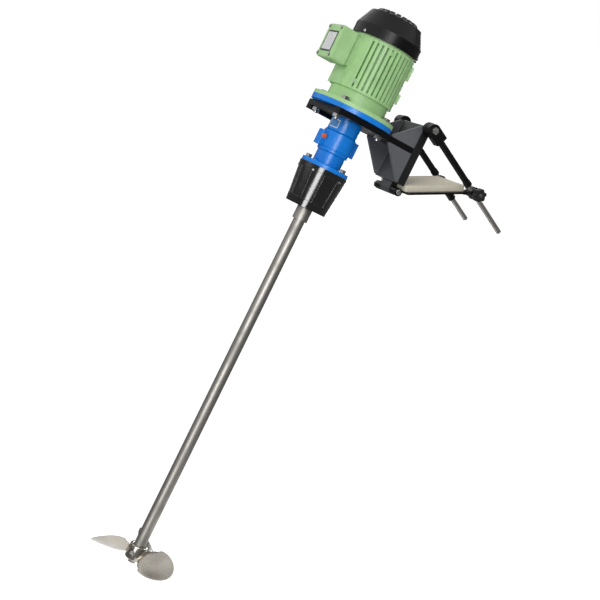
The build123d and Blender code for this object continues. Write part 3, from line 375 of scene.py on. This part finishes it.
def plated(name, color, roughness, **constants):
    """Plated small parts: cloudy, with finger marks and a soft edge."""
    finish = Finish(name, color, roughness, Metallic=1.0, **constants)
    spot = finish.place()
    cloud = finish.noise(spot, 160, 4, 0.65)
    grain = finish.noise(spot, 2200, 2)
    rounded = finish.rounded(0.0006)
    tone = finish.mix(cloud.above(0.38, 0.66), shade(color, 0.72), shade(color, 1.15))
    finish.set("Base Color", finish.mix(finish.edge(rounded) * 0.4, tone, shade(color, 1.35)))
    finish.set("Roughness", roughness + (cloud - 0.5) * 0.3 + (grain - 0.5) * 0.1)
    finish.bump(grain + cloud * 0.5, 0.3, 0.0002, rounded)
    return finish.material


def stacked_sheet(name, color):
    """Core of thin punched sheets: fine dark lines square to the shaft."""
    sheet_thickness = 0.001
    finish = Finish(name, color, 0.5, Metallic=1.0)
    spot = finish.head_place()
    height = finish.node("ShaderNodeSeparateXYZ", {}, {0: spot}, output="Z")
    layer = finish.math("SINE", height * (2 * math.pi / sheet_thickness))
    cloud = finish.noise(spot, 60, 4)
    finish.set("Base Color", finish.mix(layer.above(-0.2, 0.8), shade(color, 0.45), color + (1,)))
    finish.set("Roughness", 0.42 + cloud * 0.25)
    finish.bump(layer, 0.5, 0.0002)
    return finish.material


def wound_wire(name, color):
    """Varnished winding: wires round the shaft, bunched by lacing."""
    finish = Finish(name, color, 0.3, Metallic=0.6, Coat_Roughness=0.15)
    spot = finish.head_place()
    wire = finish.noise(finish.scaled(spot, (40, 40, 1400)), 1, 1)
    bunch = finish.noise(spot, 90, 3)
    finish.set("Base Color", finish.mix(wire.above(0.4, 0.6), shade(color, 0.5), shade(color, 1.2)))
    finish.set("Roughness", 0.25 + bunch * 0.25)
    finish.set("Coat Weight", bunch.above(0.3, 0.6))
    finish.bump(wire + bunch, 0.7, 0.0006)
    return finish.material


steel = (0.36, 0.345, 0.32)
finishes["stainless"] = turned_metal("turned_stainless", steel, 0.47, 0.5)
finishes["zinc"] = plated("zinc_plated_steel", (0.4, 0.4, 0.4), 0.3)
finishes["brass_gland"] = plated("nickel_plated_brass", (0.62, 0.56, 0.42), 0.26)
finishes["bearing_steel"] = turned_metal("ground_bearing_steel", (0.55, 0.55, 0.55), 0.16, 0.15)
finishes["gear_steel"] = turned_metal("cut_gear_steel", (0.36, 0.36, 0.37), 0.3, 0.3)
finishes["cast_aluminium"] = plated("cast_aluminium_bare", (0.5, 0.5, 0.5), 0.5)
finishes["lamination"] = stacked_sheet("stacked_core_sheet", (0.24, 0.24, 0.25))
finishes["winding"] = wound_wire("varnished_copper_wire", (0.5, 0.2, 0.07))
finishes["polished_blade"] = turned_metal("polished_blade_plate", (0.45, 0.42, 0.37), 0.18, 0.2)
pale_print = enamel("pale_print_on_sheet", (0.66, 0.67, 0.67), 0.4, 0.2, 0.2, 0.2, (0.5, 0.5, 0.5))
bright_zinc = plated("bright_zinc_on_bolts", (0.72, 0.72, 0.7), 0.24)
drawn_rod = turned_metal("drawn_stainless_rod", (0.52, 0.49, 0.46), 0.33, 0.3, on_head=False)
printed_border = moulded("printed_dark_border", (0.02, 0.022, 0.02), 0.5, 0.2)
plate_blue = enamel("blue_enamel_on_plate", (0.03, 0.2, 0.5), 0.3, 0.2, 0.3, 0.3, (0.4, 0.42, 0.45))
print("finishes:", len(finishes))

# %% [markdown]
# ## Dressing the nodes
# The record says which finish each node has, so one loop dresses them all. A few nodes differ from the rest
# of their slot: the lantern is polished like a car body, the webs and the upright are painted grey as painted
# sheen on their black enamel, and the bolts and rods that are handled most are brighter.

# %% Dress the nodes
slots = {part["node"]: part["material_slot"] for part in frame["record"]["subparts"]}
own_finish = {"lantern": lantern_black, "lower_gussets": web_painted_sheen, "upper_gussets": web_painted_sheen,
              "pivot_plate": upright_painted_sheen, "strut_bolts": bright_zinc, "tilt_pin": bright_zinc,
              "near_strut_rod": drawn_rod, "far_strut_rod": drawn_rod}
for name, node in nodes.items():
    node.data.materials.clear()
    node.data.materials.append(own_finish.get(name, finishes[slots[name]]))
print("dressed:", len(nodes))

# %% [markdown]
# ## Hands for modelling
# New pieces are modelled lying flat at the world's origin, as on a bench, and only then carried to their
# seat, where their place is baked into the mesh. Small helpers do what the hand does over and over: clear
# the bench, pick faces by a test on their middle and normal, leave edit mode, apply a modifier, seat the
# finished piece and copy it.

# %% Bench helpers
def clear_bench():
    bpy.ops.object.select_all(action="DESELECT")


def pick(piece, test):
    """Selects the faces whose middle and normal pass the test, and leaves the piece in edit mode."""
    bpy.ops.object.mode_set(mode="EDIT")
    bpy.ops.mesh.select_mode(type="FACE")
    bpy.ops.mesh.select_all(action="DESELECT")
    bpy.ops.object.mode_set(mode="OBJECT")
    for face in piece.data.polygons:
        face.select = bool(test(face.center / MM, face.normal))
    bpy.ops.object.mode_set(mode="EDIT")


def done():
    bpy.ops.object.mode_set(mode="OBJECT")


def modify(piece, kind, **settings):
    """Adds a modifier and applies it at once."""
    added = piece.modifiers.new(kind.lower(), kind)
    for name, value in settings.items():
        setattr(added, name, value)
    bpy.context.view_layer.objects.active = piece
    bpy.ops.object.modifier_apply(modifier=added.name)


def seat(piece, name, matrix, body, material, smooth=30):
    """Carries a piece to its seat, bakes the place into the mesh, smooths it and lets it ride."""
    piece.name = name
    piece.data.name = name
    piece.matrix_world = matrix @ piece.matrix_world
    clear_bench()
    piece.select_set(True)
    bpy.context.view_layer.objects.active = piece
    bpy.ops.object.transform_apply(location=True, rotation=True, scale=True)
    bpy.ops.object.mode_set(mode="EDIT")
    bpy.ops.mesh.select_all(action="SELECT")
    bpy.ops.mesh.remove_doubles(threshold=0.00001)
    bpy.ops.mesh.normals_make_consistent(inside=False)
    done()
    bpy.ops.object.shade_smooth_by_angle(angle=math.radians(smooth))
    piece.data.materials.clear()
    piece.data.materials.append(material)
    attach(piece, body)
    return piece


def twin(piece):
    """A copy with a mesh of its own."""
    copy = piece.copy()
    copy.data = piece.data.copy()
    scene.collection.objects.link(copy)
    return copy


print("bench ready")

# %% [markdown]
# ## Propeller
# The real propeller is pressed from stainless plate: three broad oval blades, thick at the root and thin at
# the rim, each welded to a turned hub and twisted so that it bites evenly along its length. Here a sphere
# is squashed to a lens, its root is drawn in, one modifier dishes it, a second twists it, and the finished
# blade is copied round the hub. The whole piece then stands for the CAD node.

# %% Propeller blade
blade_reach = 51  # half the blade's length
blade_middle = 66  # from the shaft's axis to the blade's middle
blade_half_width = 0.0415  # metres, like the thickness
blade_half_thickness = 0.0024
clear_bench()
bpy.ops.mesh.primitive_uv_sphere_add(segments=40, ring_count=28, radius=1)
blade = bpy.context.object
blade.rotation_euler = (0, math.radians(90), 0)
blade.scale = (blade_half_width, blade_half_thickness, blade_reach * MM)
bpy.ops.object.transform_apply(location=False, rotation=True, scale=True)
for root_share, narrowing in ((0.4, 0.84), (0.72, 0.86)):
    pick(blade, lambda middle, normal: middle.x < -blade_reach * root_share)
    bpy.ops.transform.resize(value=(1.0, 1.4, narrowing), center_override=(0, 0, 0))
done()
modify(blade, "SIMPLE_DEFORM", deform_method="BEND", deform_axis="X", angle=math.radians(-44))
modify(blade, "SIMPLE_DEFORM", deform_method="TWIST", deform_axis="X", angle=math.radians(-12))
modify(blade, "SUBSURF", levels=1, render_levels=1)


def pitch_near(low, high):
    """The angle of the blade's chord, from its widest points between two places along its length."""
    slice_points = [v.co for v in blade.data.vertices if low < v.co.x / MM < high]
    rim = max(slice_points, key=lambda point: point.z)
    tail = min(slice_points, key=lambda point: point.z)
    return math.degrees(math.atan2(tail.y - rim.y, rim.z - tail.z))


print("blade twist, root:", round(pitch_near(-30, -20), 1), "rim:", round(pitch_near(20, 30), 1), "degrees")

# %% [markdown]
# The hub is a short turned sleeve with a rounded shoulder at each end. It is a tube, so that the shaft
# passes through it, and a bevel modifier breaks its edges. Hub and blades are joined while they still lie
# on the bench.

# %% Propeller hub and assembly
hub_radius = 0.022  # metres, like the wall and the depth
hub_wall = 0.00795
hub_depth = 0.036
hub_height = -1152  # millimetres up the shaft from the motor joint
blade_count = 3
first_blade = 59  # degrees
blade_pitch = 42  # degrees between the blade's chord and the plane of rotation
clear_bench()
bpy.ops.mesh.primitive_cylinder_add(vertices=64, radius=hub_radius, depth=hub_depth)
hub = bpy.context.object
pick(hub, lambda middle, normal: abs(normal.z) > 0.9)
bpy.ops.mesh.inset(thickness=hub_wall, use_even_offset=True)
bpy.ops.mesh.bridge_edge_loops()
done()
modify(hub, "BEVEL", width=0.0022, segments=3, limit_method="ANGLE", angle_limit=math.radians(50))
blades = []
pitch = Matrix.Rotation(math.radians(blade_pitch - 90), 4, "X")
for number in range(blade_count):
    copy = twin(blade)
    swing = Matrix.Rotation(math.radians(first_blade + 360 / blade_count * number), 4, "Z")
    copy.matrix_world = swing @ Matrix.Translation((blade_middle * MM, 0, 0)) @ pitch
    blades.append(copy)
bpy.data.objects.remove(blade)
clear_bench()
for copy in blades:
    copy.select_set(True)
hub.select_set(True)
bpy.context.view_layer.objects.active = hub
bpy.ops.object.join()
hub_place = head_frame(0, 0, hub_height, (0, 0, 1), (1, 0, 0))
propeller = seat(hub, "pressed_propeller", hub_place, "output", finishes["polished_blade"], 40)
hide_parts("propeller")
print("propeller faces:", len(propeller.data.polygons))

# %% [markdown]
# ## Bare plates
# A motor carries a rating plate, and a gearbox a smaller one. Both stay bare here. The lid's plate is a
# thin sheet with a dark border and a pale field: two flat sheets lie on each other, each with a shallow
# step inside its rim. The gearbox plate has to follow the tube, so it starts as a slice of a cylinder.

# %% Plate on the terminal lid
def lid_sheet(width, height, thickness, corner):
    """A thin plate with rounded corners and a soft edge, lying on the bench."""
    clear_bench()
    bpy.ops.mesh.primitive_cube_add(size=1)
    sheet = bpy.context.object
    sheet.scale = (height * MM, width * MM, thickness * MM)
    bpy.ops.object.transform_apply(location=False, rotation=False, scale=True)
    bpy.ops.object.mode_set(mode="EDIT")
    bpy.ops.mesh.select_mode(type="EDGE")
    bpy.ops.mesh.select_all(action="DESELECT")
    bpy.ops.object.mode_set(mode="OBJECT")
    for edge in sheet.data.edges:
        first, second = (sheet.data.vertices[index].co for index in edge.vertices)
        edge.select = abs(first.z - second.z) > thickness * MM * 0.5
    bpy.ops.object.mode_set(mode="EDIT")
    bpy.ops.mesh.bevel(offset=corner * MM, segments=4, affect="EDGES")
    done()
    return sheet


lid_plate_height = 114
lid_plates = (
    # piece, width, height, thickness, corner, inset, step, place along x, slot, finish
    ("lid_plate_border", 54, 49, 0.9, 3, 3.4, 0.3, -128.45, "black_paint", printed_border),
    ("lid_plate_field", 47, 42, 0.7, 2, 1.2, 0.15, -128.75, "cast_aluminium", pale_print),
)
for name, width, height, thickness, corner, inset, step, x, slot, finish in lid_plates:
    sheet = lid_sheet(width, height, thickness, corner)
    pick(sheet, lambda middle, normal: normal.z > 0.9)
    bpy.ops.mesh.inset(thickness=inset * MM)
    bpy.ops.transform.translate(value=(0, 0, -step * MM))
    done()
    seat(sheet, name, head_frame(x, 0, lid_plate_height, (-1, 0, 0)), "head", finish)
print("lid plate: 2 pieces")

# %% Plate on the gearbox tube
def tube_slice(radius, low, high, first, last):
    """Part of a tube's skin, between two heights and two angles, in the head's own axes."""
    clear_bench()
    bpy.ops.mesh.primitive_cylinder_add(
        vertices=180, radius=radius * MM, depth=(high - low) * MM, end_fill_type="NOTHING",
        location=(0, 0, (high + low) / 2 * MM))
    skin = bpy.context.object
    bpy.ops.object.transform_apply(location=True)
    pick(skin, lambda middle, normal: not first < math.degrees(math.atan2(middle.y, middle.x)) % 360 < last)
    bpy.ops.mesh.delete(type="FACE")
    done()
    return skin


head_bench = head_frame(0, 0, 0, (0, 0, 1), (1, 0, 0))
rim_plate = tube_slice(36.55, -52, -32, 176, 222)  # radius, heights and angles
pick(rim_plate, lambda middle, normal: True)
bpy.ops.mesh.inset(thickness=0.0021)
bpy.ops.mesh.delete(type="FACE")
done()
modify(rim_plate, "SOLIDIFY", thickness=0.0007, offset=1)
seat(rim_plate, "gearbox_plate_rim", head_bench, "head", pale_print)
bare_plate = tube_slice(36.53, -50, -34, 179, 219)
modify(bare_plate, "SOLIDIFY", thickness=0.0004, offset=1)
seat(bare_plate, "gearbox_plate", head_bench, "head", plate_blue)
print("gearbox plate: 2 pieces")

# %% [markdown]
# ## Small screws
# Small screws hold the machine together where CAD leaves plain faces: pan heads on the fan cover and the
# lantern, and drive pins at the corners of the lid's plate. A head is half a flattened ball, modelled once
# for each size and copied to its seats. The recess is an inset ring of the top faces, pushed down.

# %% Screw models
def pan_screw(radius, height):
    """A low domed head with a shallow recess pressed into it."""
    clear_bench()
    bpy.ops.mesh.primitive_uv_sphere_add(segments=24, ring_count=12, radius=radius * MM)
    dome = bpy.context.object
    dome.scale = (1, 1, height / radius)
    bpy.ops.object.transform_apply(location=False, rotation=False, scale=True)
    bpy.ops.object.mode_set(mode="EDIT")
    bpy.ops.mesh.select_all(action="SELECT")
    bpy.ops.mesh.bisect(plane_co=(0, 0, 0), plane_no=(0, 0, 1), clear_inner=True, use_fill=True)
    done()
    pick(dome, lambda middle, normal: middle.z > height * 0.85 and middle.xy.length < radius * 0.4)
    bpy.ops.mesh.inset(thickness=radius * 0.08 * MM)
    bpy.ops.transform.translate(value=(0, 0, -height * 0.35 * MM))
    done()
    return dome


def scatter(model, name, seats, slot):
    """Seats one copy of a model on the head at each place: a point of the head and the way it faces."""
    for number, (place, facing) in enumerate(seats, 1):
        seat(twin(model), f"{name}_{number}", head_frame(*place, facing), "head", finishes[slot])
    bpy.data.objects.remove(model)
    print(name, len(seats))


def ring_seat(radius, height, angle):
    """A seat on a round wall, facing straight outwards."""
    turn = math.radians(angle)
    outward = (math.cos(turn), math.sin(turn), 0)
    return (radius * outward[0], radius * outward[1], height), outward


cover_radius, cover_screw_height = 81.4, 168
cover_seats = [ring_seat(cover_radius, cover_screw_height, angle) for angle in (82, 202, 322)]
scatter(pan_screw(4.2, 2.6), "cover_screw", cover_seats, "zinc")
pin_x, pin_across, pin_rise = -128.9, 23.5, 21
pin_seats = [((pin_x, side * pin_across, lid_plate_height + rise * pin_rise), (-1, 0, 0))
             for side in (-1, 1) for rise in (-1, 1)]
scatter(pan_screw(1.5, 0.8), "lid_plate_pin", pin_seats, "zinc")

# %% [markdown]
# Five screws sit round the lantern, just under its flange. The cast motor frame carries two bosses, and the
# lower one takes the earth screw: each is a short drum with a rounded rim and a drilled middle.

# %% Screws on the lantern and the motor frame
lantern_radius, lantern_screw_height, lantern_screws = 58.6, -160, 5
lantern_seats = [ring_seat(lantern_radius, lantern_screw_height, 223 + 360 / lantern_screws * number)
                 for number in range(lantern_screws)]
scatter(pan_screw(3.4, 1.8), "lantern_screw", lantern_seats, "zinc")


def drilled_boss(radius, height):
    """A cast boss: a drum with a rounded rim and a hole drilled down its middle."""
    clear_bench()
    bpy.ops.mesh.primitive_cylinder_add(
        vertices=48, radius=radius * MM, depth=height * MM, location=(0, 0, height / 2 * MM))
    drum = bpy.context.object
    bpy.ops.object.transform_apply(location=True)
    modify(drum, "BEVEL", width=radius * 0.18 * MM, segments=3, limit_method="ANGLE")
    pick(drum, lambda middle, normal: normal.z > 0.9 and middle.xy.length < 0.1)
    bpy.ops.mesh.inset(thickness=radius * 0.3 * MM)
    bpy.ops.mesh.extrude_region_move(TRANSFORM_OT_translate={"value": (0, 0, -height * 0.6 * MM)})
    done()
    return drum


boss_radius, earth_radius = 76.4, 79.0  # of the walls on which bosses and screw sit
earth_place = (57, 226)  # height and angle
boss_seats = [ring_seat(boss_radius, *earth_place), ring_seat(boss_radius, 146, 262)]
scatter(drilled_boss(5.2, 3.0), "frame_boss", boss_seats, "green_paint")
scatter(pan_screw(2.7, 1.6), "earth_screw", [ring_seat(earth_radius, *earth_place)], "zinc")

# %% [markdown]
# ## Weld beads
# The bracket's webs are welded along their inner corners. A bead is laid down drop by drop, so it looks
# like a row of overlapping coins: one flattened drop is repeated by an array modifier for as long as the
# seam runs.

# %% Weld beads
drop_pitch = 1.7  # millimetres from one drop of a bead to the next


def weld_bead(length):
    """A seam of overlapping drops that starts at the origin and runs along x."""
    clear_bench()
    bpy.ops.mesh.primitive_uv_sphere_add(segments=12, ring_count=7, radius=0.0021)
    drop = bpy.context.object
    drop.rotation_euler = (0, math.radians(72), 0)
    drop.scale = (0.95, 1.0, 0.6)
    bpy.ops.object.transform_apply(location=False, rotation=True, scale=True)
    modify(drop, "ARRAY", count=int(length / drop_pitch), use_relative_offset=False, use_constant_offset=True,
           constant_offset_displace=(drop_pitch * MM, 0, 0))
    return drop


web_inside = 50.5  # from the bracket's middle to a bead, half sunk into the web's inner face
runs = (
    # length, start along x and z, way it faces, way it runs
    (62, (92, -11.0), (0, 0, 1), (1, 0, 0)),
    (54, (154.5, -10), (-1, 0, 0), (0, 0, 1)),
    (62, (92, -26.0), (0, 0, -1), (1, 0, 0)),
    (68, (154.5, -27), (-1, 0, 0), (0, 0, -1)),
)
seams = 0
for side in (-1, 1):
    for length, (x, z), facing, along in runs:
        seams += 1
        place = head_frame(x, side * web_inside, z, facing, along)
        # The beads take the webs' grey, which is painted sheen on black enamel.
        seat(weld_bead(length), f"weld_bead_{seams}", place, "head", web_painted_sheen, 60)
print("weld beads:", seams)

# %% [markdown]
# ## Studio
# The world lights everything evenly, and is pure white to the eye. One large soft lamp stands high in front
# and models the forms. It is kept out of reflections, because polished steel and gloss paint need one clean
# stripe of light along the shaft. A tall strip lamp in front and one behind give it, and they light nothing
# else.

# %% Studio
scene.view_settings.view_transform = "Standard"
world = bpy.data.worlds.new("studio_world")
world.use_nodes = True
scene.world = world
sky = Graph(world.node_tree)
sky.tree.nodes.clear()
eye, mirror, glass = (
    sky.node("ShaderNodeLightPath", output=f"Is {kind} Ray") for kind in ("Camera", "Glossy", "Transmission"))
seen = sky.math("MAXIMUM", sky.math("MAXIMUM", eye, mirror), glass)
level = sky.node("ShaderNodeMapRange", {}, {"Value": seen, "To Min": 0.62, "To Max": 1.0})
light = sky.node("ShaderNodeBackground", {}, {"Color": (1, 1, 1, 1), "Strength": level})
sky.fill(sky.tree.nodes.new("ShaderNodeOutputWorld").inputs["Surface"], light)


def softbox(name, place, target, width, height, watts, tilt=0.0):
    """A rectangular lamp that faces a target, its long side along the shaft unless a tilt leans it away."""
    lamp = bpy.data.lights.new(name, "AREA")
    lamp.shape = "RECTANGLE"
    lamp.size = width
    lamp.size_y = height
    lamp.energy = watts
    holder = bpy.data.objects.new(name, lamp)
    scene.collection.objects.link(holder)
    away = (place - target).normalized()
    tall = up + away.cross(up) * -tilt
    tall = (tall - away * tall.dot(away)).normalized()
    turn = Matrix((tall.cross(away), tall, away)).transposed()
    holder.matrix_world = Matrix.Translation(place) @ turn.to_4x4()
    return holder


middle = head(0, 0, -100)
view_up = -view_down
key_place = camera_place + view_up * 0.9 - view_right * 0.7
key = softbox("key_softbox", key_place, middle, 1.2, 1.2, 30)
key.visible_glossy = False
strip_middle = head(0, 0, -300)
front_place = strip_middle - view_forward * 2.6 - view_right * 0.24 - up * 0.25
back_place = strip_middle + view_forward * 2.8 + view_right * 0.6 - up * 0.1
front = softbox("front_strip", front_place, strip_middle, 0.75, 3.1, 68, 0.7)
back = softbox("back_strip", back_place, strip_middle, 0.75, 3.0, 50)
for strip in (front, back):
    strip.visible_diffuse = False
print("studio lamps: 3")

# %% [markdown]
# The floor is a large pale sheet, low enough for the propeller to clear it when the head stands upright. It
# is white to the eye and in reflections, but it still takes the object's shadow. Round everything stands a
# grey surround, seen in reflections alone: without something dark to mirror, steel and black gloss would
# both turn pale.

# %% Floor and surround
floor_level = cad_box[0][2] - 0.18
clear_bench()
bpy.ops.mesh.primitive_plane_add(size=60, location=(0, 0, floor_level))
floor = bpy.context.object
floor.name = "studio_floor"
paper = Finish("white_paper", (0.9, 0.9, 0.9), 0.9)
eye = paper.node("ShaderNodeLightPath", output="Is Camera Ray")
mirror = paper.node("ShaderNodeLightPath", output="Is Glossy Ray")
glow = (eye + mirror).above(0.0, 1.0) * 0.5
paper.set("Emission Color", paper.mix(glow, (0, 0, 0, 1), (1, 1, 1, 1)))
paper.set("Emission Strength", 1.0)
floor.data.materials.append(paper.material)

surround_radius, surround_height = 3.6, 2.3
surround_middle = (-0.6, 0, floor_level + surround_height / 2 + 0.005)
clear_bench()
bpy.ops.mesh.primitive_cylinder_add(
    vertices=64, radius=surround_radius, depth=surround_height, location=surround_middle)
surround = bpy.context.object
surround.name = "grey_surround"
pick(surround, lambda middle, normal: normal.z < -0.5)
bpy.ops.mesh.inset(thickness=surround_radius - 0.5)
bpy.ops.mesh.delete(type="FACE")
done()
pick(surround, lambda middle, normal: normal.z > 0.5)
bpy.ops.mesh.delete(type="FACE")
done()
bpy.ops.object.transform_apply(location=True)
cloth = Finish("grey_surround_cloth", (0.02, 0.02, 0.02), 1.0)
cloth.set("Emission Color", (0.14, 0.14, 0.14, 1))
cloth.set("Emission Strength", 1.0)
surround.data.materials.append(cloth.material)
surround.visible_camera = False
surround.visible_diffuse = False
surround.visible_shadow = False
print("floor at", round(floor_level, 3), "m")
